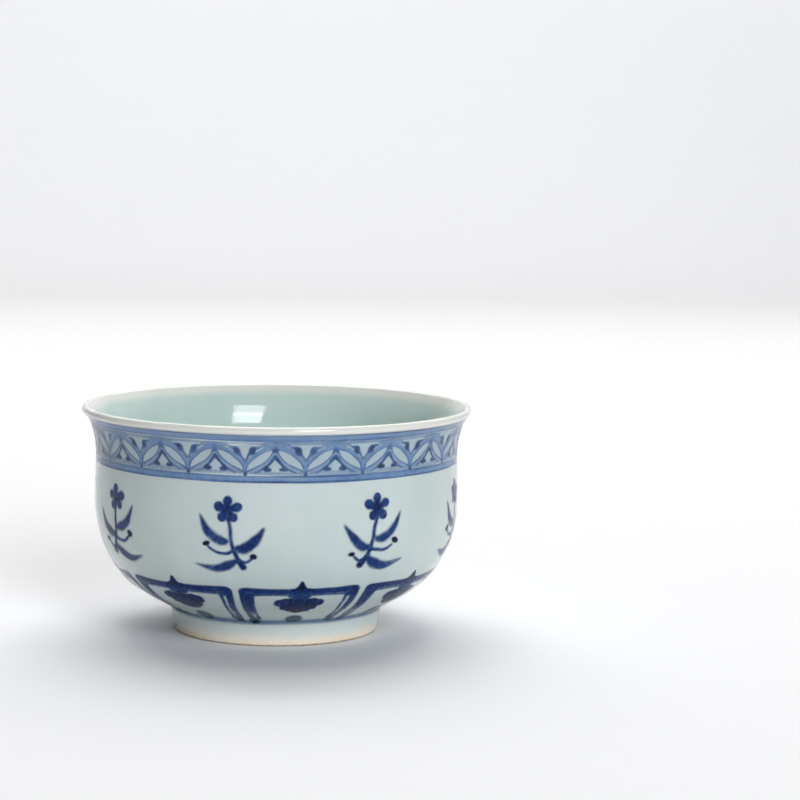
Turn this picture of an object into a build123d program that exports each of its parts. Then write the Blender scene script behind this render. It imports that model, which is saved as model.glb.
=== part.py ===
from build123d import *
import os
from math import radians, sin

# A small footed porcelain tea cup, thrown and turned, with cobalt painting under a clear celadon glaze.
# Frame: the cup stands on z = 0 with its axis on +Z, and the front of the painting faces -Y. Millimetres.
# Each layer is a separate solid: the clay, three coats of glaze, and the cobalt between clay and glaze.

# ---- driving dimensions ---------------------------------------------------------------------------------
cup_height = 47.0
mouth_diameter = 81.0  # the outline below brings the foot to 43 across at the table

glaze_thickness = 0.30
cobalt_thickness = 0.08
clay_overrun = 0.60  # depth to which a cutting tool runs past the glaze into the clay

lip_radius = 0.8
bare_edge_height = 1.3  # the foot's lowest edge is wiped clean of glaze up to here

# Outside, from the lip's crest down: (radius, turn in degrees) of arcs that run on tangent to each other.
# A turn is positive to the left of travel, so a negative one bends round the clay.
crest_to_lip = (lip_radius, -139.86)
lip_flare = (5.0, 28.93)
neck_hollow = (18.1, 24.73)
upper_belly = (116.0, -3.8)
lower_belly = (31.0, -13.5)
bowl_turn = (20.2, -47.0)
under_bowl_run = 5.63  # straight stretch from the bowl to the foot
foot_corner = (0.9, 54.79)

# Inside, from the lip's crest down, with the clay on the left of travel.
crest_to_mouth = (lip_radius, 47.57)
mouth_flare = (14.86, 46.23)
inner_upper_belly = (113.6, -3.8)
inner_lower_belly = (24.0, -18.0)
inner_bowl_turn = (16.0, -54.0)
floor_dish = (45.0, -18.0)

# The recess under the floor.
recess_depth = 4.6
recess_radius = 18.8
recess_corner = 1.0
foot_edge_round = 0.5

# Cobalt decoration: heights of the painted bands, and angles around the cup with 0 at the front.
rim_lines_low, rim_lines_high = 43.95, 45.40
frieze_low, frieze_high = 37.25, 43.80
frieze_lines_low, frieze_lines_high = 35.80, 37.10
frieze_units = 20
frieze_start_angle = 8.5
sprig_count = 8
sprig_start_angle = -14.0
petal_count = 8
petal_start_angle = 8.5
petal_low, petal_high = 6.05, 14.3
foot_line_low, foot_line_high = 4.65, 5.90

prism_reach = 60.0  # drawing prisms run from the axis to well outside the wall

os.makedirs("parts", exist_ok=True)


# ---- the wall's outline -------------------------------------------------------------------------------
def tangent_arcs(start, heading, arcs, inset):
    """Arcs drawn end to end in the current BuildLine, all moved inset to the left of travel."""
    along = Vector(1, 0).rotate(Axis.Z, heading)
    point = Vector(*start) + along.rotate(Axis.Z, 90) * inset
    for radius, turn in arcs:
        bend = radius - inset if turn > 0 else radius + inset
        arc = JernArc(start=point, tangent=along, radius=bend, arc_size=turn)
        point = arc @ 1
        along = along.rotate(Axis.Z, turn)
    return point, along


lip_crest = (mouth_diameter / 2 - lip_radius, cup_height)


def outside_line(inset, low):
    """The outside from the lip's crest down to the height low, moved inset into the clay."""
    wall = [crest_to_lip, lip_flare, neck_hollow, upper_belly, lower_belly, bowl_turn]
    point, along = tangent_arcs(lip_crest, 0, wall, -inset)
    run = Line(point, point + along * under_bowl_run)
    corner = JernArc(run @ 1, along, foot_corner[0] + inset, foot_corner[1])
    down = along.rotate(Axis.Z, foot_corner[1])
    drop = (corner @ 1).Y - low
    foot = Line(corner @ 1, corner @ 1 + down * (drop / -down.Y))
    return foot @ 1


def inside_line(inset):
    """The inside from the lip's crest down to the middle of the floor, moved inset into the clay."""
    bowl = [crest_to_mouth, mouth_flare, inner_upper_belly, inner_lower_belly, inner_bowl_turn, floor_dish]
    point, along = tangent_arcs(lip_crest, 180, bowl, inset)
    floor = Line(point, (0, point.Y))
    return floor @ 1


def recess_line(inset, low):
    """The recess from its middle out and down the foot ring's inner wall, moved inset into the clay."""
    ceiling = Line((0, recess_depth + inset), (recess_radius - recess_corner, recess_depth + inset))
    corner = JernArc(ceiling @ 1, (1, 0), recess_corner + inset, -90)
    wall = Line(corner @ 1, (recess_radius + inset, low))
    return wall @ 1


# ---- clay -----------------------------------------------------------------------------------------------
with BuildPart() as porcelain_body:
    with BuildSketch(Plane.XZ) as clay_section:
        with BuildLine():
            outer_foot = outside_line(glaze_thickness, 0)
            inner_floor = inside_line(glaze_thickness)
            inner_foot = recess_line(glaze_thickness, 0)
            Line(inner_floor, (0, recess_depth + glaze_thickness))
            Line(inner_foot, outer_foot)
        make_face()
        fillet(clay_section.vertices().group_by(Axis.Y)[0], radius=foot_edge_round)
    revolve(axis=Axis.Z)


# ---- glaze coats ----------------------------------------------------------------------------------------
def outer_layer(inner_inset, outer_inset, low):
    """A coat on the outside, between two depths below the finished surface."""
    with BuildPart() as layer:
        with BuildSketch(Plane.XZ):
            with BuildLine():
                outer_end = outside_line(outer_inset, low)
                inner_end = outside_line(inner_inset, low)
                Line(outer_end, inner_end)
                Line((lip_crest[0], cup_height - outer_inset), (lip_crest[0], cup_height - inner_inset))
            make_face()
        revolve(axis=Axis.Z)
    return layer.part


with BuildPart() as inner_glaze:
    with BuildSketch(Plane.XZ):
        with BuildLine():
            surface_end = inside_line(0)
            clay_end = inside_line(glaze_thickness)
            Line(surface_end, clay_end)
            Line(lip_crest, (lip_crest[0], cup_height - glaze_thickness))
        make_face()
    revolve(axis=Axis.Z)

with BuildPart() as base_glaze:
    with BuildSketch(Plane.XZ):
        with BuildLine():
            surface_end = recess_line(0, bare_edge_height)
            clay_end = recess_line(glaze_thickness, bare_edge_height)
            Line(surface_end, clay_end)
            Line((0, recess_depth), (0, recess_depth + glaze_thickness))
        make_face()
    revolve(axis=Axis.Z)

cobalt_skin = outer_layer(glaze_thickness, glaze_thickness - cobalt_thickness, bare_edge_height)

# ---- brush shapes: solids that reach through the wall, each cut down to the cobalt's thin skin -------------
def band_brush(low, high):
    """A full ring between two heights."""
    with BuildPart() as brush:
        with BuildSketch(Plane.XY.offset(low)):
            Circle(mouth_diameter)
        extrude(amount=high - low)
    return brush.part


# Over the painting the outer glaze lies on the cobalt, so there it starts one cobalt layer further out.
with BuildPart() as painted_zone:
    add(band_brush(foot_line_low, rim_lines_high))
    add(outer_layer(clay_overrun, glaze_thickness - cobalt_thickness, 0), mode=Mode.INTERSECT)

with BuildPart() as outer_glaze:
    add(outer_layer(glaze_thickness, 0, bare_edge_height))
    add(painted_zone.part, mode=Mode.SUBTRACT)


def leaf(start, end, bulge_over, bulge_under):
    """A pointed leaf between two points, its sides bulging by two sagittas."""
    with BuildSketch() as outline:
        with BuildLine():
            SagittaArc(start, end, bulge_over)
            SagittaArc(start, end, bulge_under)
        make_face()
    return outline.sketch


def leaf_ring(lean):
    """One leaf's painted outline, leaning left (-1) or right (+1) from the foot of the V."""
    with BuildSketch() as ring:
        add(leaf((lean * 0.25, frieze_low + 0.2), (lean * 5.6, frieze_high - 0.2), 1.6, -1.6))
        inner_edge = leaf((lean * 1.0, frieze_low + 1.2), (lean * 4.95, frieze_high - 1.05), 0.8, -0.8)
        add(inner_edge, mode=Mode.SUBTRACT)
    return ring.sketch


def frieze_brush():
    """One V of two leaves, with a pair of dabs in its mouth and half of each pair beside it."""
    with BuildPart() as brush:
        with BuildSketch(Plane.XZ):
            add(leaf_ring(-1))
            add(leaf_ring(1))
            with Locations((0, frieze_low + 0.55)):
                Ellipse(0.35, 0.5)
            with Locations((-1.3, frieze_high - 1.1), (1.3, frieze_high - 1.1)):
                Ellipse(0.75, 0.55)
            with Locations((-4.5, frieze_low + 1.65), (4.5, frieze_low + 1.65)):
                Ellipse(0.8, 0.5)
        extrude(amount=prism_reach)
    return brush.part


def sprig_brush(side):
    """A leafy sprig with a five-petalled flower and two berries; side mirrors it."""
    flower_height, petal_offset = 29.9, 1.35
    with BuildPart() as brush:
        with BuildSketch(Plane.XZ):
            add(leaf((-side * 2.4, 18.6), (side * 0.3, 29.6), side * 1.1, side * 0.25))
            add(leaf((-side * 1.3, 21.4), (side * 6.4, 19.3), side * 0.5, -side * 1.5))
            add(leaf((-side * 0.9, 22.9), (-side * 5.9, 25.9), side * 1.3, -side * 0.5))
            add(leaf((side * 0.2, 24.6), (side * 5.6, 28.3), side * 0.4, -side * 1.4))
            add(leaf((side * 0.2, 26.4), (-side * 4.6, 29.0), side * 1.2, -side * 0.3))
            with Locations((side * 0.4, flower_height)):
                with PolarLocations(petal_offset, 5, start_angle=90):
                    Ellipse(1.15, 0.95)
            with Locations((side * 4.6, 23.6), (-side * 4.3, 21.2)):
                Ellipse(0.85, 0.95)
        extrude(amount=prism_reach)
    return brush.part


def wedge(half_angle, low, high):
    """A slice of the cup's round, from the axis out towards the front."""
    half_width = prism_reach * sin(radians(half_angle))
    with BuildPart() as slice_solid:
        with BuildSketch(Plane.XY.offset(low)):
            with BuildLine():
                Polyline((0, 0), (-half_width, -prism_reach), (half_width, -prism_reach), close=True)
            make_face()
        extrude(amount=high - low)
    return slice_solid.part


def petal_brush():
    """A lotus panel: thick frame with a peak, thin line inside it, a lobed pendant and a drop."""
    with BuildPart() as brush:
        add(wedge(20.6, petal_low, petal_high))
        add(wedge(17.1, petal_low - 1, petal_high - 1.35), mode=Mode.SUBTRACT)
        add(wedge(16.3, petal_low, petal_high - 1.7))
        add(wedge(15.5, petal_low - 1, petal_high - 2.0), mode=Mode.SUBTRACT)
        with BuildSketch(Plane.XZ):
            with BuildLine():
                SagittaArc((-2.4, petal_high - 0.1), (0, petal_high + 1.4), -0.35)
                SagittaArc((0, petal_high + 1.4), (2.4, petal_high - 0.1), -0.35)
                Line((-2.4, petal_high - 0.1), (2.4, petal_high - 0.1))
            make_face()
        extrude(amount=prism_reach)
        with BuildSketch(Plane.XZ):
            with Locations((-3.0, 11.1), (3.0, 11.1)):
                Ellipse(1.3, 0.95)
            with Locations((-1.2, 11.0), (1.2, 11.0)):
                Ellipse(1.3, 1.15)
            with Locations((-1.7, 9.9), (1.7, 9.9)):
                Ellipse(1.25, 0.8)
            with Locations((0, 9.2)):
                Ellipse(1.5, 0.9)
            with Locations((0, 6.9)):
                Ellipse(1.3, 0.7)
        extrude(amount=prism_reach)
    return brush.part


def painted(brush, angle):
    """The cobalt that one brush shape leaves on the clay, turned to its place around the cup."""
    with BuildPart() as mark:
        with PolarLocations(0, 1, start_angle=angle):
            add(brush)
        add(cobalt_skin, mode=Mode.INTERSECT)
    return mark.part


def write(part, name):
    part.label = name
    export_step(part, f"parts/{name}.step")


# ---- cobalt, one node for each band and for each repeated motif ---------------------------------------------
frieze_unit = painted(frieze_brush(), frieze_start_angle)
with BuildPart() as frieze_leaves:
    with PolarLocations(0, frieze_units):
        add(frieze_unit)

rim_lines = painted(band_brush(rim_lines_low, rim_lines_high), 0)
frieze_lines = painted(band_brush(frieze_lines_low, frieze_lines_high), 0)
foot_line = painted(band_brush(foot_line_low, foot_line_high), 0)

sprig_step = 360 / sprig_count
sprigs = {
    f"sprig_{i + 1}": painted(sprig_brush(1 if i % 2 else -1), sprig_start_angle + i * sprig_step)
    for i in range(sprig_count)
}

petal_step = 360 / petal_count
petal_shape = petal_brush()
petals = {
    f"petal_{i + 1}": painted(petal_shape, petal_start_angle + i * petal_step)
    for i in range(petal_count)
}

write(porcelain_body.part, "porcelain_body")
write(outer_glaze.part, "outer_glaze")
write(inner_glaze.part, "inner_glaze")
write(base_glaze.part, "base_glaze")
write(rim_lines, "rim_lines")
write(frieze_leaves.part, "frieze_leaves")
write(frieze_lines, "frieze_lines")
write(foot_line, "foot_line")
for name, mark in {**sprigs, **petals}.items():
    write(mark, name)
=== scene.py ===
import math
import bpy
import numpy as np
from mathutils import Matrix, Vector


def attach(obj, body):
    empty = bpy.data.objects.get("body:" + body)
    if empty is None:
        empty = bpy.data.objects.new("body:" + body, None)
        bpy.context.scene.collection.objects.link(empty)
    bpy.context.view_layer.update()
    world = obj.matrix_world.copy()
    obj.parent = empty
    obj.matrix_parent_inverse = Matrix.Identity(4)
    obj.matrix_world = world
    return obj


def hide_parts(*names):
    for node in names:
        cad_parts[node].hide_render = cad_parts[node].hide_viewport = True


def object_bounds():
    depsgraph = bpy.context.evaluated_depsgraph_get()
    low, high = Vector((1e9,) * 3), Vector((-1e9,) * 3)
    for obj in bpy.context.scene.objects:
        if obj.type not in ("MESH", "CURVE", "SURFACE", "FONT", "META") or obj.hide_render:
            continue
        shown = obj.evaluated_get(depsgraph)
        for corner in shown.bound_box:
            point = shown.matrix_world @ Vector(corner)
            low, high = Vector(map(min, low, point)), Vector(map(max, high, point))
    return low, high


# A footed porcelain tea cup with cobalt painting under a pale celadon glaze, on a white studio sweep.
# The cup stands on z = 0 with its axis on +Z, and the front of the painting faces -Y.
# Outlines and strokes are in millimetres, and in degrees around the cup; meshes are made in metres.
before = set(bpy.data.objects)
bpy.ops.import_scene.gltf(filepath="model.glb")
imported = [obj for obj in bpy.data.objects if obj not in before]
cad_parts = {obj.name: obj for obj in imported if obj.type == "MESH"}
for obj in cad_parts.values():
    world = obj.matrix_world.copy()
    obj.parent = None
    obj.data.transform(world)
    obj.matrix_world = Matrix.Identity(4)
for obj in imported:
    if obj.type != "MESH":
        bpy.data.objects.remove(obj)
cad_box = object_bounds()
MM = 0.001
cup_height = (cad_box[1][2] - cad_box[0][2]) / MM
mouth_radius = (cad_box[1][0] - cad_box[0][0]) / 2 / MM


# ---- the wall's outline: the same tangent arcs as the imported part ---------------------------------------
LIP_RADIUS = 0.8
GLAZE = 0.30
BARE_EDGE = 1.3
LIP_CREST = (mouth_radius - LIP_RADIUS, cup_height)
# each arc as (radius in mm, turn in degrees), from the lip's crest down
OUTSIDE = [(LIP_RADIUS, -139.86), (5.0, 28.93), (18.1, 24.73), (116.0, -3.8), (31.0, -13.5), (20.2, -47.0)]
UNDER_BOWL_RUN = 5.63
FOOT_CORNER = (0.9, 54.79)
INSIDE = [(LIP_RADIUS, 47.57), (14.86, 46.23), (113.6, -3.8), (24.0, -18.0), (16.0, -54.0), (45.0, -18.0)]
RECESS_DEPTH = 4.6
RECESS_RADIUS = 18.8
RECESS_CORNER = 1.0
FOOT_EDGE_ROUND = 0.5
ARC_STEP = 0.35
SAME_POINT = 1e-6


class Outline:
    """A line in the (radius, height) plane with the outward normal of the surface at each point."""

    def __init__(self, start, heading, clay_side, inset=0.0):
        # clay_side is +1 with the clay on the left of travel and -1 with it on the right
        self.side = clay_side
        self.inset = inset * clay_side
        self.heading = math.radians(heading)
        left = self.left()
        self.at = np.array(start, float) + left * self.inset
        self.points = [self.at]
        self.normals = [-clay_side * left]

    def left(self):
        return np.array([-math.sin(self.heading), math.cos(self.heading)])

    def arc(self, radius, turn):
        bend = radius - self.inset if turn > 0 else radius + self.inset
        sign = math.copysign(1, turn)
        centre = self.at + self.left() * bend * sign
        steps = max(4, int(math.ceil(abs(math.radians(turn)) * bend / ARC_STEP)))
        first = self.heading
        for k in range(1, steps + 1):
            self.heading = first + math.radians(turn) * k / steps
            self.at = centre - self.left() * bend * sign
            self.points.append(self.at)
            self.normals.append(-self.side * self.left())
        return self

    def line_to(self, point, step=ARC_STEP * 2):
        move = np.array(point, float) - self.at
        self.heading = math.atan2(move[1], move[0])
        steps = max(1, int(math.ceil(np.hypot(*move) / step)))
        begin = self.at
        for k in range(1, steps + 1):
            self.at = begin + move * k / steps
            self.points.append(self.at)
            self.normals.append(-self.side * self.left())
        return self

    def run(self, length):
        ahead = np.array([math.cos(self.heading), math.sin(self.heading)])
        return self.line_to(self.at + ahead * length)


def outside_outline(inset, low):
    line = Outline(LIP_CREST, 0, -1, inset)
    for radius, turn in OUTSIDE:
        line.arc(radius, turn)
    line.run(UNDER_BOWL_RUN)
    line.arc(*FOOT_CORNER)
    line.run((line.at[1] - low) / -math.sin(line.heading))
    return line


def inside_outline(inset):
    line = Outline(LIP_CREST, 180, 1, inset)
    for radius, turn in INSIDE:
        line.arc(radius, turn)
    return line.line_to((0, line.at[1]))


def recess_outline(inset, low):
    line = Outline((0, RECESS_DEPTH), 0, 1, inset)
    line.line_to((RECESS_RADIUS - RECESS_CORNER, RECESS_DEPTH + inset))
    line.arc(RECESS_CORNER, -90)
    return line.line_to((RECESS_RADIUS + inset, low))


# ---- surfaces of revolution ------------------------------------------------------------------------------
def new_piece(name, vertices, faces, material):
    mesh = bpy.data.meshes.new(name)
    mesh.from_pydata(vertices, [], faces)
    mesh.materials.append(material)
    for polygon in mesh.polygons:
        polygon.use_smooth = True
    piece = bpy.data.objects.new(name, mesh)
    bpy.context.scene.collection.objects.link(piece)
    return piece


def lathe(name, runs, material, segments=256):
    """Turns a closed outline, given as runs of (points, normals), into a mesh with exact normals.

    The outline is travelled with the material on its left, and ends where it starts.
    """
    ring, spans = [], []
    for points, normals in runs:
        for k, point in enumerate(points):
            if not ring or np.hypot(*(np.array(point) - ring[-1])) > SAME_POINT:
                ring.append(np.array(point, float))
                if k:
                    spans.append((len(ring) - 2, len(ring) - 1, normals[k - 1], normals[k]))
    # the outline's last point repeats its first, so the last span is joined back to the start
    ring.pop()
    last, _, begin, end = spans[-1]
    spans[-1] = (last, 0, begin, end)
    turns = np.linspace(0, 2 * math.pi, segments, endpoint=False)
    vertices, index = [], {}
    for i, (r, z) in enumerate(ring):
        if r < SAME_POINT:
            index[i] = [len(vertices)] * segments
            vertices.append((0.0, 0.0, z * MM))
        else:
            index[i] = list(range(len(vertices), len(vertices) + segments))
            vertices += [(r * MM * math.sin(t), -r * MM * math.cos(t), z * MM) for t in turns]
    faces, corner_normals = [], []

    def turned(normal, t):
        return (normal[0] * math.sin(t), -normal[0] * math.cos(t), normal[1])

    for a, b, normal_a, normal_b in spans:
        if ring[a][0] < SAME_POINT and ring[b][0] < SAME_POINT:
            continue
        for j in range(segments):
            k = (j + 1) % segments
            t, u = turns[j], turns[j] + 2 * math.pi / segments
            corners = [(index[a][j], normal_a, t), (index[a][k], normal_a, u),
                       (index[b][k], normal_b, u), (index[b][j], normal_b, t)]
            kept = []
            for corner in corners:
                if all(corner[0] != other[0] for other in kept):
                    kept.append(corner)
            faces.append([c[0] for c in kept])
            corner_normals += [turned(c[1], c[2]) for c in kept]
    piece = new_piece(name, vertices, faces, material)
    piece.data.normals_split_custom_set(corner_normals)
    return piece


def straight(a, b):
    """A run of one straight edge, its normal to the right of travel, away from the material."""
    a, b = np.array(a, float), np.array(b, float)
    along = (b - a) / np.hypot(*(b - a))
    normal = np.array([along[1], -along[0]])
    return [a, b], [normal, normal]


def backwards(line):
    """The outline as the outer face of a coat, travelled the other way."""
    return line.points[::-1], line.normals[::-1]


def forwards(line):
    return line.points, line.normals


def clay_side(points_and_normals):
    """The same line as the face of a coat that lies on the clay, so its normals are turned round."""
    points, normals = points_and_normals
    return points, [-n for n in normals]


# ---- node helpers ----------------------------------------------------------------------------------------
NOISE_SPAN = (0.3, 0.7)
CLOUD_SPAN = (0.35, 0.65)


def srgb(red, green, blue):
    """A colour given as it looks on a screen, 0 to 255, as linear light."""
    def linear(value):
        value /= 255
        return value / 12.92 if value <= 0.04045 else ((value + 0.055) / 1.055) ** 2.4
    return (linear(red), linear(green), linear(blue), 1.0)


class Nodes:
    """A material's node tree, with one short method for each kind of node used here."""

    def __init__(self, name):
        self.material = bpy.data.materials.new(name)
        self.material.use_nodes = True
        self.tree = self.material.node_tree
        self.shader = self.tree.nodes["Principled BSDF"]
        self.coordinates = self.tree.nodes.new("ShaderNodeTexCoord").outputs["Object"]

    def join(self, source, socket):
        if isinstance(source, bpy.types.NodeSocket):
            self.tree.links.new(source, socket)
        else:
            socket.default_value = source

    def math(self, operation, a, b=0.0, clamp=False):
        node = self.tree.nodes.new("ShaderNodeMath")
        node.operation = operation
        node.use_clamp = clamp
        self.join(a, node.inputs[0])
        self.join(b, node.inputs[1])
        return node.outputs[0]

    def noise(self, size_mm, detail=3.0, seed=0.0, roughness=0.5):
        node = self.tree.nodes.new("ShaderNodeTexNoise")
        node.noise_dimensions = "4D"
        node.inputs["W"].default_value = seed
        node.inputs["Scale"].default_value = 1 / (size_mm * MM)
        node.inputs["Detail"].default_value = detail
        node.inputs["Roughness"].default_value = roughness
        self.tree.links.new(self.coordinates, node.inputs["Vector"])
        return node.outputs["Fac"]

    def height(self):
        node = self.tree.nodes.new("ShaderNodeSeparateXYZ")
        self.tree.links.new(self.coordinates, node.inputs[0])
        return self.math("DIVIDE", node.outputs["Z"], MM)

    def step(self, value, low, high, out_low=0.0, out_high=1.0):
        node = self.tree.nodes.new("ShaderNodeMapRange")
        node.interpolation_type = "SMOOTHSTEP"
        self.join(value, node.inputs["Value"])
        node.inputs["From Min"].default_value = low
        node.inputs["From Max"].default_value = high
        node.inputs["To Min"].default_value = out_low
        node.inputs["To Max"].default_value = out_high
        return node.outputs["Result"]

    def vary(self, noise, low, high):
        """The middle of a noise's range, stretched to run between two values."""
        return self.step(noise, *NOISE_SPAN, low, high)

    def mix(self, amount, a, b):
        node = self.tree.nodes.new("ShaderNodeMix")
        node.data_type = "RGBA"
        self.join(amount, node.inputs["Factor"])
        self.join(a, node.inputs["A"])
        self.join(b, node.inputs["B"])
        return node.outputs["Result"]

    def ramp(self, value, stops):
        node = self.tree.nodes.new("ShaderNodeValToRGB")
        elements = node.color_ramp.elements
        while len(elements) < len(stops):
            elements.new(0.5)
        for element, (position, colour) in zip(elements, stops):
            element.position = position
            element.color = colour
        self.join(value, node.inputs["Fac"])
        return node.outputs["Color"]

    def attribute(self, name):
        node = self.tree.nodes.new("ShaderNodeAttribute")
        node.attribute_name = name
        return node.outputs["Fac"]

    def bump(self, height, strength, distance_mm):
        node = self.tree.nodes.new("ShaderNodeBump")
        self.join(height, node.inputs["Height"])
        node.inputs["Strength"].default_value = strength
        node.inputs["Distance"].default_value = distance_mm * MM
        self.tree.links.new(node.outputs["Normal"], self.shader.inputs["Normal"])

    def set(self, **values):
        for name, value in values.items():
            self.join(value, self.shader.inputs[name.replace("_", " ")])


# ---- materials -------------------------------------------------------------------------------------------
CELADON = srgb(201, 212, 211)
CELADON_DEEP = srgb(176, 196, 193)
LIP_WHITE = srgb(226, 226, 220)
CELADON_FOOT = srgb(216, 224, 221)
# the bare clay's own cream and tan, made lighter: partly painted light that stands in for light the foot
# lacks
CLAY_CREAM = srgb(249, 240, 224)
CLAY_TAN = srgb(249, 233, 209)
CLAY_BROWN = srgb(134, 104, 82)
INSIDE_CELADON = srgb(198, 215, 211)
INSIDE_DEEP = srgb(186, 206, 201)
INSIDE_POOL = srgb(168, 193, 187)

GLAZE_INDEX = 1.5
GLAZE_ROUGHNESS = (0.05, 0.10)
GLAZE_SMEAR = 6.0
OUTSIDE_SEED = 20.0
# not a real property: a weaker gloss than the glaze's, so that the dark brushwork looks less grey
BRUSHWORK_INDEX = 1.25

# heights in mm over which a glaze or the clay changes colour, from none of the change to all of it
POOL_STARTS = (4.0, 5.2)
POOL_FADES = (9.0, 5.6)
LIP_WHITENS = (45.35, 45.75)
FOOT_PALES = (5.2, 3.4)
FOOT_CREAMS = (3.2, 0.9)
BOWL_POOLS = (12.0, 8.4)
BOWL_LIP_WHITENS = (44.5, 46.2)
RECESS_TANS = (2.2, 1.4)
# painted contact shadow: the bare clay darkens to brown over these heights towards the table
FOOT_CONTACT_SHADE = (0.45, 0.1)

# the part of a fine noise's range that shows as brown specks, and the noise's scale in mm
SPECKS, SPECK_NOISE = (0.885, 0.91), 0.5
BASE_SPECKS, BASE_SPECK_NOISE = (0.87, 0.90), 0.45


def glaze_roughness(nodes, seed):
    return nodes.vary(nodes.noise(GLAZE_SMEAR, 2.0, seed), *GLAZE_ROUGHNESS)


def gloss(nodes, seed):
    """What all the glazes share: a bright smooth surface with a slight unevenness from the fire."""
    nodes.set(Roughness=glaze_roughness(nodes, seed), IOR=GLAZE_INDEX)
    nodes.bump(nodes.noise(5.0, 2.0, seed + 1), strength=0.08, distance_mm=0.12)


def outer_glaze_material():
    nodes = Nodes("celadon_glaze_outside")
    height = nodes.height()
    cloud = nodes.noise(16.0, 3.0, 1.0)
    body = nodes.mix(nodes.step(cloud, *CLOUD_SPAN, 0.0, 0.35), CELADON, CELADON_DEEP)
    pooled = nodes.math("MULTIPLY", nodes.step(height, *POOL_STARTS), nodes.step(height, *POOL_FADES))
    body = nodes.mix(nodes.math("MULTIPLY", pooled, 0.6), body, CELADON_DEEP)
    wavy = nodes.math("ADD", height, nodes.vary(nodes.noise(5.0, 2.0, 4.0), -0.12, 0.12))
    body = nodes.mix(nodes.step(wavy, *LIP_WHITENS), body, LIP_WHITE)
    edge = nodes.math("ADD", height, nodes.vary(nodes.noise(6.0, 2.0, 7.0), -0.25, 0.25))
    body = nodes.mix(nodes.step(height, *FOOT_PALES), body, CELADON_FOOT)
    body = nodes.mix(nodes.step(edge, *FOOT_CREAMS, 0.0, 0.9), body, CLAY_CREAM)
    speck = nodes.step(nodes.noise(SPECK_NOISE, 0.0, 11.0), *SPECKS, 0.0, 0.5)
    nodes.set(Base_Color=nodes.mix(speck, body, CLAY_BROWN))
    gloss(nodes, OUTSIDE_SEED)
    return nodes.material


def inner_glaze_material():
    nodes = Nodes("celadon_glaze_inside")
    height = nodes.height()
    cloud = nodes.noise(18.0, 3.0, 31.0)
    body = nodes.mix(nodes.step(cloud, *CLOUD_SPAN, 0.0, 0.5), INSIDE_CELADON, INSIDE_DEEP)
    body = nodes.mix(nodes.step(height, *BOWL_POOLS, 0.0, 0.5), body, INSIDE_POOL)
    body = nodes.mix(nodes.step(height, *BOWL_LIP_WHITENS, 0.0, 0.9), body, LIP_WHITE)
    nodes.set(Base_Color=body)
    gloss(nodes, 40.0)
    return nodes.material


def base_glaze_material():
    nodes = Nodes("celadon_glaze_underneath")
    cloud = nodes.noise(7.0, 3.0, 51.0)
    speck = nodes.step(nodes.noise(BASE_SPECK_NOISE, 0.0, 53.0), *BASE_SPECKS, 0.0, 0.6)
    body = nodes.mix(nodes.step(cloud, *CLOUD_SPAN), CELADON, CELADON_DEEP)
    body = nodes.mix(nodes.step(nodes.height(), *RECESS_TANS, 0.0, 0.7), body, CLAY_TAN)
    nodes.set(Base_Color=nodes.mix(speck, body, CLAY_BROWN))
    gloss(nodes, 60.0)
    return nodes.material


def clay_material():
    nodes = Nodes("bare_fired_clay")
    grain = nodes.noise(0.35, 5.0, 71.0, 0.6)
    patch = nodes.noise(4.0, 3.0, 73.0)
    body = nodes.mix(nodes.step(patch, *CLOUD_SPAN), CLAY_TAN, CLAY_CREAM)
    ragged = nodes.math("ADD", nodes.height(), nodes.vary(grain, -0.15, 0.15))
    # painted contact shadow: brown towards the edge that stands on the table
    contact_shade = nodes.step(ragged, *FOOT_CONTACT_SHADE)
    body = nodes.mix(nodes.math("MULTIPLY", contact_shade, 0.8), body, CLAY_BROWN)
    nodes.set(Base_Color=nodes.mix(nodes.step(grain, 0.4, 0.75, 0.0, 0.25), body, CLAY_BROWN),
              Roughness=nodes.vary(grain, 0.55, 0.85))
    nodes.bump(grain, strength=0.5, distance_mm=0.08)
    return nodes.material


def cobalt_material(name, stops, mottle_mm, mottle, thin_alpha, full_alpha, seed, index):
    """Painted cobalt: tone sets its colour, cover its soft edge and its see-through wash."""
    nodes = Nodes(name)
    heap = nodes.noise(mottle_mm, 4.0, seed, 0.6)
    spread = nodes.noise(mottle_mm * 4, 2.0, seed + 1)
    tone = nodes.math("ADD", nodes.attribute("tone"), nodes.vary(heap, -mottle, mottle))
    tone = nodes.math("ADD", tone, nodes.vary(spread, -mottle / 2, mottle / 2), clamp=True)
    strength = nodes.step(tone, 0.1, 0.75, thin_alpha, full_alpha)
    nodes.set(Base_Color=nodes.ramp(tone, stops),
              Alpha=nodes.math("MULTIPLY", nodes.attribute("cover"), strength, clamp=True),
              Roughness=glaze_roughness(nodes, OUTSIDE_SEED), IOR=index)
    return nodes.material


BORDER_STOPS = [(0.0, srgb(146, 172, 200)), (0.3, srgb(112, 147, 192)), (0.6, srgb(66, 103, 154)),
                (0.85, srgb(40, 67, 113)), (1.0, srgb(24, 42, 76))]
BRUSH_STOPS = [(0.0, srgb(116, 146, 188)), (0.3, srgb(74, 102, 156)), (0.55, srgb(30, 64, 122)),
               (0.8, srgb(15, 38, 92)), (1.0, srgb(16, 20, 42))]

outer_material = outer_glaze_material()
inner_material = inner_glaze_material()
base_material = base_glaze_material()
clay = clay_material()
border_cobalt = cobalt_material("cobalt_border", BORDER_STOPS, mottle_mm=1.1, mottle=0.10,
                                thin_alpha=0.72, full_alpha=0.97, seed=81.0, index=GLAZE_INDEX)
brush_cobalt = cobalt_material("cobalt_brushwork", BRUSH_STOPS, mottle_mm=0.8, mottle=0.15,
                               thin_alpha=0.60, full_alpha=0.98, seed=91.0, index=BRUSHWORK_INDEX)


# ---- clay and glaze ----------------------------------------------------------------------------------------
def place(piece, node):
    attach(piece, "root")
    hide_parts(node)


GLAZE_TAPER_TOP = 2.4
GLAZE_TAPER = GLAZE * 0.8


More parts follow.
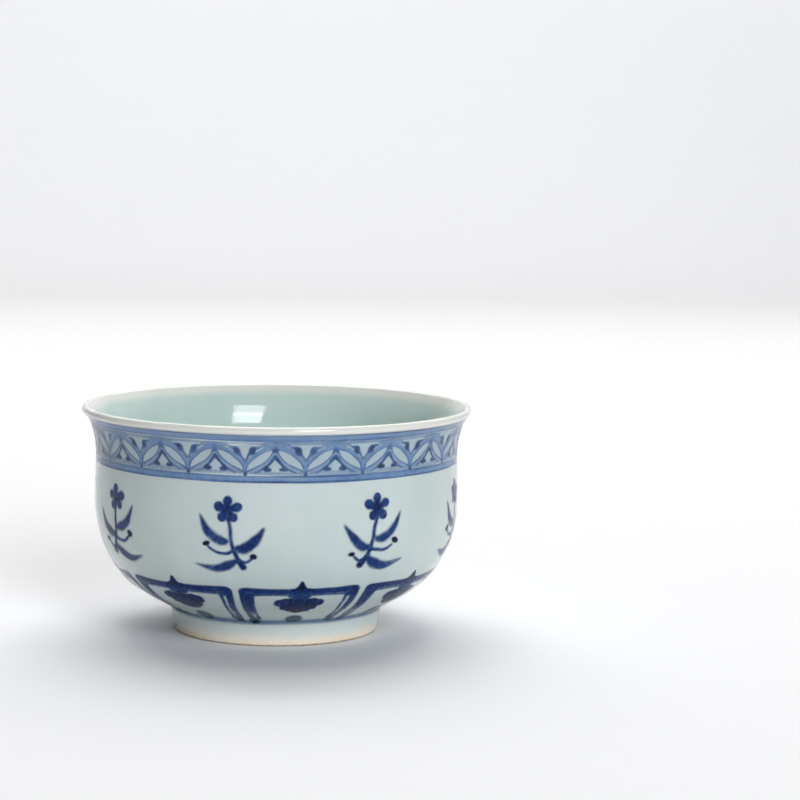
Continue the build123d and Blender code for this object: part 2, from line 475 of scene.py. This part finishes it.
def thin_at_foot(line):
    """Draws the coat's face in towards the clay over its last stretch above the bare edge."""
    for k, point in enumerate(line.points):
        if point[1] < GLAZE_TAPER_TOP:
            thin = (GLAZE_TAPER_TOP - point[1]) / (GLAZE_TAPER_TOP - BARE_EDGE)
            line.points[k] = point - np.array([GLAZE_TAPER * thin ** 2, 0])


outer_face = outside_outline(0, BARE_EDGE)
outer_back = outside_outline(GLAZE, BARE_EDGE)
thin_at_foot(outer_face)
piece = lathe("glaze_outside", [
    backwards(outer_face),
    straight(outer_face.points[0], outer_back.points[0]),
    clay_side(forwards(outer_back)),
    straight(outer_back.points[-1], outer_face.points[-1]),
], outer_material)
place(piece, "outer_glaze")

inner_face, inner_back = inside_outline(0), inside_outline(GLAZE)
piece = lathe("glaze_inside", [
    forwards(inner_face),
    straight(inner_face.points[-1], inner_back.points[-1]),
    clay_side(backwards(inner_back)),
    straight(inner_back.points[0], inner_face.points[0]),
], inner_material)
place(piece, "inner_glaze")

base_face, base_back = recess_outline(0, BARE_EDGE), recess_outline(GLAZE, BARE_EDGE)
piece = lathe("glaze_underneath", [
    forwards(base_face),
    straight(base_face.points[-1], base_back.points[-1]),
    clay_side(backwards(base_back)),
    straight(base_back.points[0], base_face.points[0]),
], base_material, segments=192)
place(piece, "base_glaze")

clay_outside = outside_outline(GLAZE, FOOT_EDGE_ROUND)
clay_inside = inside_outline(GLAZE)
clay_recess = recess_outline(GLAZE, FOOT_EDGE_ROUND)
foot_edge = Outline(clay_recess.at, -90, 1)
foot_edge.arc(FOOT_EDGE_ROUND, 90)
foot_edge.line_to((clay_outside.at[0] - FOOT_EDGE_ROUND, 0))
foot_edge.arc(FOOT_EDGE_ROUND, 90)
foot_edge.points[-1] = clay_outside.at
piece = lathe("clay_body", [
    backwards(clay_outside),
    forwards(clay_inside),
    straight(clay_inside.points[-1], clay_recess.points[0]),
    forwards(clay_recess),
    forwards(foot_edge),
], clay)
place(piece, "porcelain_body")


# ---- the painting ------------------------------------------------------------------------------------------
# Points are (degrees around the cup, height in mm). A stroke's width is in mm, measured on the wall.
FRIEZE_UNITS = 20
FRIEZE_START = 8.5
MOTIFS = 8
SPRIG_START = -14.0
PANEL_START = 8.5
BELLY_RADIUS = 37.87
# places across a stroke, as shares of its half width
ACROSS = np.array([-1, -0.9, -0.75, -0.5, -0.2, 0.2, 0.5, 0.75, 0.9, 1.0])
# a stroke's section in mm: its back and its edges lie below the glaze's face, and its top rises over a bevel
BURIED = -0.04
SUNK_EDGE = 0.01
BEVEL = 0.08
# a stroke's end in mm: the least half width, and the least length that a round end closes over
NARROWEST = 0.004
ROUND_END_MIN = 0.05
# a ring has no ends, so it counts as this many mm from one, which is past every soft edge
NO_END = 9.0
# the head start that cover gets on its way up over a soft edge; the outermost columns have no cover at all
COVER_START = 0.02
# the share of its tone that a stroke has at its edge, and how many soft edges the tone takes to fill out
EDGE_TONE = 0.55
EDGE_TONE_REACH = 1.6
# the share of a strip of the bake map that is left free at each side, and of the map at each end
BAKE_MARGIN_ACROSS = 0.06
BAKE_MARGIN_ALONG = 0.01

wall = outside_outline(0, 0)
wall_r = np.array([p[0] for p in wall.points])[::-1]
wall_z = np.array([p[1] for p in wall.points])[::-1]
wall_normal = np.array(wall.normals)[::-1]
wall_run = np.concatenate([[0], np.cumsum(np.hypot(np.diff(wall_r), np.diff(wall_z)))])
CREST_RUN = wall_run[-1]


def run_at(height):
    """Distance along the wall from the table up to a height."""
    return np.interp(height, wall_z, wall_run)


def on_wall(angle, run, lift):
    """Points and normals on the wall at angles in radians and distances along it, lifted in mm."""
    r, z = np.interp(run, wall_run, wall_r), np.interp(run, wall_run, wall_z)
    nr, nz = (np.interp(run, wall_run, wall_normal[:, i]) for i in (0, 1))
    size = np.hypot(nr, nz)
    nr, nz = nr / size, nz / size
    r, z = r + nr * lift, z + nz * lift
    points = np.stack([r * np.sin(angle), -r * np.cos(angle), z], -1) * MM
    normals = np.stack([nr * np.sin(angle), -nr * np.cos(angle), nz], -1)
    return points, normals


def smooth(values, per_span=8, closed=False):
    """A curve through control values, as a Catmull-Rom spline."""
    values = np.array(values, float)
    if closed:
        turn = [360, 0]
        padded = np.vstack([values[-1:] - turn, values, values[:2] + turn])
    else:
        padded = np.vstack([2 * values[:1] - values[1:2], values, 2 * values[-1:] - values[-2:-1]])
    out = []
    for a, b, c, d in zip(padded, padded[1:], padded[2:], padded[3:]):
        for t in np.arange(per_span) / per_span:
            out.append(0.5 * (2 * b + (c - a) * t + (2 * a - 5 * b + 4 * c - d) * t * t
                              + (3 * b - a - 3 * c + d) * t ** 3))
    if not closed:
        out.append(values[-1])
    return np.array(out)


def soft_step(x):
    x = np.clip(x, 0, 1)
    return x * x * (3 - 2 * x)


class Brush:
    """Gathers strokes on the wall into one mesh, with the pigment's tone and cover at each vertex."""

    def __init__(self, kinds):
        self.kinds = kinds  # strokes of one kind share a strip of the bake map
        self.vertices, self.faces, self.normals = [], [], []
        self.tone, self.cover, self.uv = [], [], []
        self.count = 0

    def stroke(self, points, widths, tone, kind, lift=0.02, soft=0.2, per_span=8, closed=False,
               centre=0.0, mirror=1, body=1.0):
        """One brush stroke: control points, widths and tones are spread evenly along it."""
        path = smooth(points, per_span, closed)
        rows = len(path)
        at = np.linspace(0, 1, rows, endpoint=not closed)
        half = self.spread(widths, at) / 2
        tones = self.spread(tone, at)
        angle = np.radians(centre + mirror * path[:, 0])
        run = run_at(path[:, 1])
        radius = np.interp(run, wall_run, wall_r)
        ahead = self.directions(angle, run, radius, closed)
        from_end = np.full(rows, NO_END)
        if not closed:
            steps = np.hypot(np.diff(angle) * radius[1:], np.diff(run))
            length = np.concatenate([[0], np.cumsum(steps)])
            from_end = np.minimum(length, length[-1] - length)
            # a round end: the width closes over its own half
            into_end = np.clip(from_end / np.maximum(half, ROUND_END_MIN), 0, 1)
            half = half * np.sqrt(np.clip(1 - (1 - into_end) ** 2, 0, 1))
            half = np.maximum(half, NARROWEST)
        reach = ACROSS[None, :] * half[:, None] * mirror
        top_angle = angle[:, None] - ahead[:, 1:2] * reach / radius[:, None]
        top_run = np.clip(run[:, None] + ahead[:, 0:1] * reach, 0, CREST_RUN)
        inside = (1 - np.abs(ACROSS))[None, :] * half[:, None]
        cover = body * soft_step(inside / soft + COVER_START)
        cover = cover * soft_step(from_end / soft + COVER_START)[:, None]
        cover[:, [0, -1]] = 0
        shade = tones[:, None] * (EDGE_TONE + (1 - EDGE_TONE) * soft_step(inside / (soft * EDGE_TONE_REACH)))
        rise = lift * soft_step(inside / BEVEL) - SUNK_EDGE * (1 - soft_step(inside / BEVEL))
        face, face_normals = on_wall(top_angle, top_run, rise)
        back, back_normals = on_wall(top_angle[:, [0, -1]], top_run[:, [0, -1]], BURIED)
        self.vertices += [face.reshape(-1, 3), back.reshape(-1, 3)]
        self.normals += [face_normals.reshape(-1, 3), -back_normals.reshape(-1, 3)]
        self.tone += [shade.ravel(), np.zeros(rows * 2)]
        self.cover += [cover.ravel(), np.zeros(rows * 2)]
        self.add_bake_map(rows, kind)
        self.add_faces(rows, closed, mirror < 0)
        self.count += rows * (len(ACROSS) + 2)

    @staticmethod
    def directions(angle, run, radius, closed):
        """Unit steps along the stroke, as (around the cup, up the wall)."""
        if closed:
            step_angle = np.full(len(run), math.radians(360 / len(run)))
            step_run = (np.roll(run, -1) - np.roll(run, 1)) / 2
        else:
            step_angle, step_run = np.gradient(angle), np.gradient(run)
        ahead = np.stack([step_angle * radius, step_run], -1)
        return ahead / np.linalg.norm(ahead, axis=1, keepdims=True)

    def add_bake_map(self, rows, kind):
        u = BAKE_MARGIN_ALONG + (1 - 2 * BAKE_MARGIN_ALONG) * np.linspace(0, 1, rows)
        v = (kind + BAKE_MARGIN_ACROSS + (1 - 2 * BAKE_MARGIN_ACROSS) * (ACROSS + 1) / 2) / self.kinds
        for columns in (v, v[[0, -1]]):
            grid = np.stack(np.broadcast_arrays(u[:, None], columns[None, :]), -1)
            self.uv.append(grid.reshape(-1, 2))

    def add_faces(self, rows, closed, flip):
        """The strip's face, its two sides and its back, and its two ends unless it is a ring."""
        columns = len(ACROSS)
        first = self.count
        under = first + rows * columns
        for i in range(rows if closed else rows - 1):
            j = (i + 1) % rows
            a, b = first + i * columns, first + j * columns
            quads = [(a + c, b + c, b + c + 1, a + c + 1) for c in range(columns - 1)]
            quads.append((under + 2 * i, under + 2 * j, b, a))
            quads.append((a + columns - 1, b + columns - 1, under + 2 * j + 1, under + 2 * i + 1))
            quads.append((under + 2 * i + 1, under + 2 * j + 1, under + 2 * j, under + 2 * i))
            self.faces += [quad[::-1] if flip else quad for quad in quads]
        if not closed:
            row = first + (rows - 1) * columns
            start = (under, *range(first, first + columns), under + 1)
            finish = (under + 2 * rows - 1, *range(row + columns - 1, row - 1, -1), under + 2 * rows - 2)
            self.faces += [end[::-1] if flip else end for end in (start, finish)]

    @staticmethod
    def spread(values, at):
        values = np.atleast_1d(np.array(values, float))
        if len(values) == 1:
            return np.full(len(at), values[0])
        return np.interp(at, np.linspace(0, 1, len(values)), values)

    def piece(self, name, material):
        piece = new_piece(name, np.vstack(self.vertices).tolist(), self.faces, material)
        mesh = piece.data
        for attribute, values in (("tone", self.tone), ("cover", self.cover)):
            layer = mesh.attributes.new(attribute, "FLOAT", "POINT")
            layer.data.foreach_set("value", np.concatenate(values).astype(np.float32))
        corners = np.empty(len(mesh.loops), np.int32)
        mesh.loops.foreach_get("vertex_index", corners)
        layer = mesh.uv_layers.new(name="OFBake")
        layer.data.foreach_set("uv", np.vstack(self.uv)[corners].astype(np.float32).ravel())
        mesh.normals_split_custom_set(np.vstack(self.normals)[corners].tolist())
        return piece


rng = np.random.default_rng(47)
RING_STEP = 6.0


def shake(points, amount, ways=(1.0, 1.0)):
    """Points moved a little, as an unsteady hand would; ways scale it around the cup and upwards."""
    points = np.array(points, float)
    return points + rng.normal(0, amount, points.shape) * ways


def hand_ring(brush, height, width, tone, kind, wobble=0.05, lift=0.02, soft=0.12, body=1.0):
    """A line drawn round the cup by hand, so its height and weight wander a little."""
    turns = np.arange(0, 360, RING_STEP)
    phase = rng.uniform(0, 2 * math.pi, 6)
    radians = np.radians(turns)

    def wave(size, count, start):
        return size * np.sin(radians * count + phase[start])

    drift = sum(np.sin(radians * n + phase[n]) / n for n in (1, 2, 3, 5)) * wobble
    weight = 1 + wobble * (wave(3.6, 4, 4) + wave(2.4, 9, 0))
    shade = 1 + wave(0.14, 3, 1) + wave(0.10, 7, 2)
    brush.stroke(np.stack([turns, height + drift], -1), width * weight, tone * shade, kind, lift, soft,
                 per_span=5, closed=True, body=body)


def rim_lines():
    brush = Brush(3)
    hand_ring(brush, 44.80, 1.30, 0.28, 0, lift=0.020, soft=0.20)
    hand_ring(brush, 45.36, 0.55, 0.72, 1, lift=0.045, soft=0.22)
    hand_ring(brush, 44.30, 0.55, 0.58, 2, lift=0.045, soft=0.22)
    place(brush.piece("rim_lines_painted", border_cobalt), "rim_lines")


def frieze_lines():
    brush = Brush(6)
    hand_ring(brush, 40.60, 8.30, 0.12, 3, lift=0.008, soft=0.30, body=0.36)
    hand_ring(brush, 43.72, 0.95, 0.26, 4, lift=0.012, soft=0.30, body=0.60)
    hand_ring(brush, 37.70, 1.10, 0.14, 5, lift=0.012, soft=0.30, body=0.55)
    hand_ring(brush, 36.46, 1.30, 0.34, 0, lift=0.020, soft=0.20)
    hand_ring(brush, 37.00, 0.50, 0.64, 1, lift=0.045, soft=0.20)
    hand_ring(brush, 35.95, 0.55, 0.70, 2, lift=0.045, soft=0.20)
    place(brush.piece("frieze_lines_painted", border_cobalt), "frieze_lines")


def foot_line():
    brush = Brush(2)
    hand_ring(brush, 5.45, 2.7, 0.22, 0, wobble=0.02, lift=0.020, soft=0.80, body=0.72)
    hand_ring(brush, 5.20, 1.6, 0.34, 1, wobble=0.02, lift=0.035, soft=0.70, body=0.65)
    place(brush.piece("foot_line_painted", border_cobalt), "foot_line")


# how far the strokes of a motif stray: a shake in mm or degrees, and ranges of weight and tone
FRIEZE_SHAKE, FRIEZE_SHAKE_WAYS = 0.05, (1.4, 0.8)
FRIEZE_WEIGHT, FRIEZE_TONE = (0.92, 1.12), (0.9, 1.08)
SPRIG_SHAKE, SPRIG_WEIGHT = 0.12, (0.93, 1.08)
PANEL_SHAKE, PANEL_SHAKE_WAYS = 0.06, (1.6, 0.8)
PANEL_WEIGHT = (0.94, 1.06)
# in mm, added to a stroke's lift on one side and taken off on the other, so that the two don't coincide
SIDE_LIFT = 0.001

# one half of a frieze unit, right of the foot of the V; the other half mirrors it
FRIEZE_STROKES = [
    # points, widths, tones, lift, soft edge, body
    ([(4.2, 43.2), (6.5, 43.35), (10.0, 43.4)], [0.7, 1.4, 1.6], [0.20, 0.28], 0.020, 0.45, 0.85),
    ([(10.0, 42.3), (9.1, 41.6), (7.6, 40.35), (5.6, 39.15), (3.0, 38.3), (0.9, 37.8)],
     [1.0, 1.2, 1.0, 1.0, 1.0, 0.9], [0.16, 0.10, 0.16], 0.022, 0.30, 0.9),
    ([(0.3, 38.9), (1.1, 40.0), (2.9, 41.2), (4.9, 42.2), (7.4, 42.75), (10.0, 42.9)],
     [0.8, 1.0, 1.1, 1.1, 1.0, 0.9], [0.30, 0.36, 0.30], 0.024, 0.32, 0.9),
    ([(0.3, 37.85), (0.9, 38.15), (3.9, 39.1), (5.9, 39.95), (7.5, 41.0), (8.6, 42.3), (9.6, 43.1)],
     [0.56, 0.50, 0.48, 0.48, 0.48, 0.5, 0.5], [0.72, 0.62, 0.70], 0.045, 0.24, 0.95),
    ([(0.4, 38.2), (1.0, 39.4), (2.9, 40.7), (4.9, 41.7), (7.2, 42.3), (9.9, 42.5)],
     [0.56, 0.50, 0.46, 0.44], [0.66, 0.60, 0.54], 0.047, 0.24, 0.95),
    ([(9.5, 41.3), (8.5, 40.65), (7.4, 39.7), (6.2, 38.85), (4.9, 38.35), (2.6, 37.6)],
     [1.10, 0.95, 0.72, 0.72, 0.60, 0.46], [0.90, 0.88, 0.90, 0.80, 0.60], 0.050, 0.26, 1.0),
    ([(0.05, 40.1), (0.6, 40.7), (1.3, 41.3), (2.1, 41.9), (2.5, 42.45), (3.5, 42.75), (5.2, 43.0)],
     [0.85, 0.65, 0.85, 1.60, 1.60, 1.00, 0.55], [0.76, 0.70, 0.90, 0.90, 0.40], 0.052, 0.36, 1.0),
    ([(9.4, 41.7), (9.2, 42.5), (9.2, 43.3)], [0.9, 1.1, 0.8], [0.74, 0.70, 0.45], 0.054, 0.28, 1.0),
    ([(8.1, 38.4), (6.6, 38.5), (5.0, 38.45)], [0.75, 1.20, 0.90], [0.92, 1.0, 0.92], 0.064, 0.30, 1.0),
    ([(6.7, 39.2), (6.0, 38.6)], [0.85, 1.35], [0.94, 1.0], 0.068, 0.30, 1.0),
]


def frieze_leaves():
    for unit in range(FRIEZE_UNITS):
        brush = Brush(len(FRIEZE_STROKES) + 2)
        centre = FRIEZE_START + unit * 360 / FRIEZE_UNITS
        for side in (-1, 1):
            for kind, (points, widths, tones, lift, soft, body) in enumerate(FRIEZE_STROKES):
                shaken = shake(points, FRIEZE_SHAKE, FRIEZE_SHAKE_WAYS)
                brush.stroke(shaken, np.array(widths) * rng.uniform(*FRIEZE_WEIGHT),
                             np.array(tones) * rng.uniform(*FRIEZE_TONE), kind, lift + SIDE_LIFT * side,
                             soft, per_span=6, centre=centre, mirror=side, body=body)
        stem = [(0.0, 40.6), (0.0, 38.9), (0.0, 37.6)]
        brush.stroke(stem, [0.8, 1.0, 1.0], 0.36, kind=len(FRIEZE_STROKES), lift=0.026, soft=0.25,
                     centre=centre)
        foot = [(0.0, 38.3), (0.05, 37.6), (0.0, 37.0)]
        brush.stroke(foot, [0.6, 1.05, 0.9], [0.70, 0.92], kind=len(FRIEZE_STROKES) + 1, lift=0.066,
                     soft=0.26, centre=centre)
        place(brush.piece(f"frieze_leaves_painted_{unit + 1:02d}", border_cobalt), "frieze_leaves")


# a leafy sprig with a five-petalled flower and two berries: (points, widths, tones, soft edge), where the
# points are in mm on both axes and are turned into degrees when the sprig is laid on the belly
SPRIG_STROKES = [
    ([(-3.1, 18.0), (-1.3, 20.6), (-0.2, 23.8), (0.1, 26.6), (0.5, 29.4)], [2.3, 1.6, 1.4, 1.4, 1.3],
     [1.0, 0.80, 0.72, 0.80], 0.62),
    ([(-1.8, 20.6), (0.6, 19.0), (3.6, 18.3), (8.2, 19.3)], [1.5, 2.9, 2.5, 0.9], [0.86, 0.68, 0.52], 0.78),
    ([(-0.5, 22.8), (-2.7, 22.8), (-5.0, 24.3), (-6.9, 27.6)], [1.5, 2.8, 2.5, 0.9],
     [0.66, 0.72, 0.90], 0.78),
    ([(-0.2, 24.3), (2.0, 24.3), (4.4, 25.9), (6.4, 29.6)], [1.5, 2.8, 2.5, 0.9], [0.76, 0.60, 0.84], 0.78),
    ([(-0.8, 22.2), (0.9, 21.7), (2.9, 21.8), (4.9, 23.0)], [1.1, 1.1, 1.0, 0.9], [0.70, 0.58], 0.42),
    ([(-1.4, 20.2), (-3.0, 19.9), (-4.6, 21.0)], [1.1, 1.0, 0.9], [0.70, 0.60], 0.42),
    ([(4.7, 22.8), (5.2, 24.2)], [2.4, 2.3], [1.0, 1.0], 0.45),
    ([(-4.6, 20.5), (-5.0, 21.8)], [2.2, 2.1], [1.0, 1.0], 0.45),
]
FLOWER_CENTRE = np.array([0.5, 30.3])
FLOWER_PETALS = 5
FLOWER_PETAL_BACK = 0.5
FLOWER_PETAL_REACH = (3.3, 3.0)
FLOWER_DAB_REACH = 0.2
# lifts in mm: the first stroke's, and how much higher each later one lies, so that they overlap in order
SPRIG_LIFT, SPRIG_LIFT_STEP = 0.030, 0.004
FLOWER_LIFT, FLOWER_LIFT_STEP = 0.070, 0.002
FLOWER_DAB_LIFT = 0.085


def sprig(number):
    """One sprig on the belly; every other one is mirrored."""
    side = 1 if (number - 1) % 2 else -1
    centre = SPRIG_START + (number - 1) * 360 / MOTIFS
    brush = Brush(len(SPRIG_STROKES) + FLOWER_PETALS + 1)

    def lay(points, widths, tones, kind, lift, soft):
        points = shake(points, SPRIG_SHAKE)
        points[:, 0] = np.degrees(np.arcsin(points[:, 0] / BELLY_RADIUS))
        brush.stroke(points, np.array(widths) * rng.uniform(*SPRIG_WEIGHT), tones, kind, lift, soft,
                     per_span=9, centre=centre, mirror=side)

    for kind, (points, widths, tones, soft) in enumerate(SPRIG_STROKES):
        lay(points, widths, tones, kind, SPRIG_LIFT + SPRIG_LIFT_STEP * kind, soft)
    for k in range(FLOWER_PETALS):
        way = math.radians(90 + k * 360 / FLOWER_PETALS + rng.uniform(-8, 8))
        outward = np.array([math.cos(way), math.sin(way)])
        near = FLOWER_CENTRE - outward * FLOWER_PETAL_BACK
        far = FLOWER_CENTRE + outward * FLOWER_PETAL_REACH
        lay([near, far], [1.2, 1.6, 2.4, 1.9], [0.95, 0.80, 0.62, 0.56], len(SPRIG_STROKES) + k,
            FLOWER_LIFT + FLOWER_LIFT_STEP * k, soft=0.42)
    dab = [FLOWER_CENTRE - FLOWER_DAB_REACH, FLOWER_CENTRE + FLOWER_DAB_REACH]
    lay(dab, [1.7, 1.7], [1.0], len(SPRIG_STROKES) + FLOWER_PETALS, FLOWER_DAB_LIFT, soft=0.40)
    place(brush.piece(f"sprig_painted_{number}", brush_cobalt), f"sprig_{number}")


# a lotus panel seen from its middle line: (points, widths, tones, soft edge, mirrored as well)
PANEL_STROKES = [
    ([(-17.5, 12.75), (-10.0, 12.8), (0.0, 12.8), (10.0, 12.8), (17.5, 12.75)], [1.3, 1.2, 1.3, 1.2, 1.3],
     [0.50, 0.44, 0.50, 0.42, 0.50], 0.40, False),
    ([(16.7, 12.7), (16.9, 11.4), (16.9, 9.6), (16.8, 7.6), (16.4, 6.0)], [1.3, 1.1, 1.0, 1.0, 1.3],
     [0.60, 0.46, 0.44, 0.50, 0.80], 0.32, True),
    ([(20.2, 12.6), (19.8, 13.35), (18.2, 13.7), (10.0, 13.6), (0.0, 13.6), (-3.5, 13.6)],
     [2.0, 2.4, 2.2, 2.0, 2.0, 1.9], [0.70, 0.74, 0.70, 0.66, 0.78], 0.40, True),
    ([(19.8, 13.5), (20.0, 11.8), (19.8, 9.4), (19.7, 7.4), (19.3, 5.9)], [2.3, 2.1, 1.9, 1.7, 1.9],
     [0.76, 0.68, 0.58, 0.62, 0.90], 0.42, True),
    ([(15.8, 12.9), (17.6, 12.75), (19.4, 12.7)], [1.5, 2.0, 1.8], [0.60, 0.66], 0.40, True),
    ([(-18.6, 12.8), (-18.3, 10.8), (-17.8, 9.0), (-17.6, 7.6)], [2.4, 2.1, 1.5, 0.6],
     [0.78, 0.70, 0.62], 0.42, False),
    ([(20.4, 6.2), (18.6, 5.8), (15.8, 5.85)], [2.4, 3.0, 1.9], [0.92, 1.0, 0.90], 0.50, True),
    ([(0.0, 13.4), (0.0, 14.7), (0.0, 16.0)], [5.2, 2.0, 0.6], [0.86, 0.92], 0.34, False),
    ([(1.5, 13.9), (4.2, 13.7)], [1.7, 1.3], [0.90, 0.92], 0.36, True),
    ([(-4.4, 12.5), (0.0, 12.4), (4.4, 12.5)], [1.6, 2.3, 1.6], [0.55, 0.66, 0.55], 0.40, False),
    ([(7.3, 11.9), (6.8, 9.9)], [2.8, 2.8], [0.72, 0.84], 0.42, True),
    ([(5.0, 12.2), (4.8, 8.85)], [2.8, 2.8], [0.78, 0.92], 0.42, True),
    ([(2.6, 12.2), (2.6, 8.25)], [2.7, 2.7], [0.80, 1.0], 0.42, True),
    ([(0.0, 12.3), (0.0, 7.95)], [2.7, 2.7], [0.82, 1.0], 0.42, False),
    ([(0.0, 7.5), (0.0, 6.5), (0.0, 5.1)], [3.4, 4.2, 3.8], [0.66, 0.80, 0.72], 0.60, False),
]
PANEL_LIFT, PANEL_LIFT_STEP = 0.022, 0.0045


def petal(number):
    """One lotus panel above the foot, laid out from its middle line."""
    centre = PANEL_START + (number - 1) * 360 / MOTIFS
    brush = Brush(len(PANEL_STROKES))
    for kind, (points, widths, tones, soft, both) in enumerate(PANEL_STROKES):
        for side in ((-1, 1) if both else (1,)):
            shaken = shake(points, PANEL_SHAKE, PANEL_SHAKE_WAYS)
            lift = PANEL_LIFT + PANEL_LIFT_STEP * kind + SIDE_LIFT * side
            brush.stroke(shaken, np.array(widths) * rng.uniform(*PANEL_WEIGHT), tones, kind, lift, soft,
                         per_span=9, centre=centre, mirror=side)
    place(brush.piece(f"petal_painted_{number}", brush_cobalt), f"petal_{number}")


rim_lines()
frieze_leaves()
frieze_lines()
foot_line()
for number in range(1, MOTIFS + 1):
    sprig(number)
    petal(number)


# ---- studio ----------------------------------------------------------------------------------------------
WARM, COOL = (1.0, 0.985, 0.965), (0.955, 0.98, 1.0)
CUP = (0, 0, 0.03)
EYE = (0, -0.5446, 0.1094)
SENSOR, LENS = 36.0, 118.2
TURN_RIGHT = math.radians(2.686)
LOOK_DOWN = math.radians(6.419)
ROLL = math.radians(0.750)
SWEEP_WHITE, SWEEP_GREY = (0.86, 0.865, 0.88, 1), (0.84, 0.845, 0.865, 1)


def sweep():
    """A white floor that curves up behind the cup into a backdrop."""
    half_width, front, back, bend = 2.6, -1.6, 1.3, 0.5
    floor_steps, bend_steps, wall_steps, wall_step = 12, 15, 5, 0.25
    profile = [(front + (back - front) * k / floor_steps, 0.0) for k in range(floor_steps + 1)]
    for a in np.radians([90 * k // bend_steps for k in range(1, bend_steps + 1)]):
        profile.append((back + bend * math.sin(a), bend - bend * math.cos(a)))
    profile += [(back + bend, bend + wall_step * k) for k in range(1, wall_steps + 1)]
    vertices, faces = [], []
    for x in (-half_width, half_width):
        vertices += [(x, y, z) for y, z in profile]
    count = len(profile)
    for k in range(count - 1):
        faces.append((k, count + k, count + k + 1, k + 1))
    nodes = Nodes("white_sweep")
    cloud = nodes.noise(400.0, 2.0, 5.0)
    nodes.set(Base_Color=nodes.mix(cloud, SWEEP_WHITE, SWEEP_GREY), Roughness=0.85)
    nodes.shader.inputs["Specular IOR Level"].default_value = 0.1
    floor = new_piece("studio_sweep", vertices, faces, nodes.material)


def softbox(name, place_at, look_at, width, height, power, colour=(1, 1, 1)):
    light = bpy.data.lights.new(name, "AREA")
    light.shape = "RECTANGLE"
    light.size, light.size_y = width, height
    light.energy = power
    light.color = colour
    lamp = bpy.data.objects.new(name, light)
    away = np.array(place_at, float) - np.array(look_at, float)
    away /= np.linalg.norm(away)
    right = np.cross((0, 0, 1), away)
    right /= np.linalg.norm(right)
    up = np.cross(away, right)
    lamp.matrix_world = Matrix([[right[i], up[i], away[i], place_at[i]] for i in range(3)] + [[0, 0, 0, 1]])
    bpy.context.scene.collection.objects.link(lamp)


def camera():
    """A short telephoto a little above the lip, turned so that the cup stands left of the middle."""
    data = bpy.data.cameras.new("camera")
    data.sensor_width, data.lens = SENSOR, LENS
    data.clip_start, data.clip_end = 0.01, 20.0
    eye = bpy.data.objects.new("camera", data)
    eye.matrix_world = (Matrix.Translation(EYE) @ Matrix.Rotation(-TURN_RIGHT, 4, "Z")
                        @ Matrix.Rotation(math.pi / 2 - LOOK_DOWN, 4, "X") @ Matrix.Rotation(ROLL, 4, "Z"))
    bpy.context.scene.collection.objects.link(eye)
    bpy.context.scene.camera = eye


def daylight():
    world = bpy.data.worlds.new("studio_air")
    world.use_nodes = True
    background = world.node_tree.nodes["Background"]
    background.inputs["Color"].default_value = (0.93, 0.96, 1.0, 1)
    background.inputs["Strength"].default_value = 0.03
    bpy.context.scene.world = world


def lights():
    """Soft lights above and behind the cup, two from the front right, and one on the backdrop."""
    softbox("ceiling_softbox", (0.0, 0.27, 1.02), CUP, 0.75, 0.70, 5.4, WARM)
    softbox("high_back_softbox", (0.0, 0.80, 0.95), CUP, 1.40, 0.70, 8.2, WARM)
    softbox("front_right_softbox", (0.45, -1.15, 0.80), CUP, 0.50, 0.45, 5.4, COOL)
    softbox("low_front_right_softbox", (0.50, -1.25, 0.48), CUP, 0.50, 0.45, 7.8, COOL)
    softbox("left_back_softbox", (-0.80, 0.60, 0.55), CUP, 0.60, 0.60, 0.15)
    softbox("right_back_softbox", (0.80, 0.60, 0.60), CUP, 0.60, 0.60, 0.7)
    softbox("backdrop_softbox", (0.0, 1.20, 0.80), (0, 1.8, 0.6), 2.20, 0.40, 9.6)


sweep()
daylight()
camera()
lights()
bpy.context.scene.view_settings.view_transform = "Standard"
